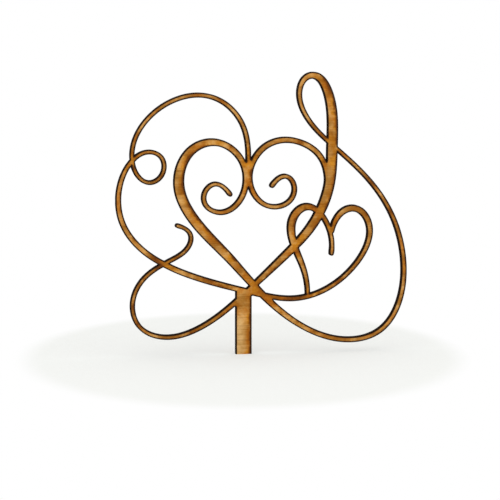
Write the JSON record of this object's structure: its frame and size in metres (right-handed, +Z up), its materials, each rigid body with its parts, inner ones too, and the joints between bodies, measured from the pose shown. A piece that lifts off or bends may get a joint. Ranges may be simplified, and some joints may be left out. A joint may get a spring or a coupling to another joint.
{
  "type": "cake topper",
  "caption": "Flat laser-cut plywood cake topper: a wordless flourish of scrolls, loops and hearts on a pointed stake, glued up from wood plies.",
  "frame": {"origin": "middle of the stake where it enters the top of the cake, in the middle of the sheet's thickness", "axes": "+X across the flourish as seen from the front, +Z up along the stake, -Y towards the viewer out of the front face"},
  "size_m": [0.1391, 0.003, 0.1923],
  "materials": {
    "face_wood": "bare sanded hardwood veneer with laser-charred edges",
    "core_wood": "rotary-cut core veneer, charred on its cut edge",
    "glue_line": "cured brown resin film, charred on its cut edge"
  },
  "bodies": {
    "root": {"front_veneer": "face_wood", "rear_veneer": "face_wood", "core_veneer": "core_wood", "front_glue_line": "glue_line", "rear_glue_line": "glue_line"}
  },
  "joints": []
}
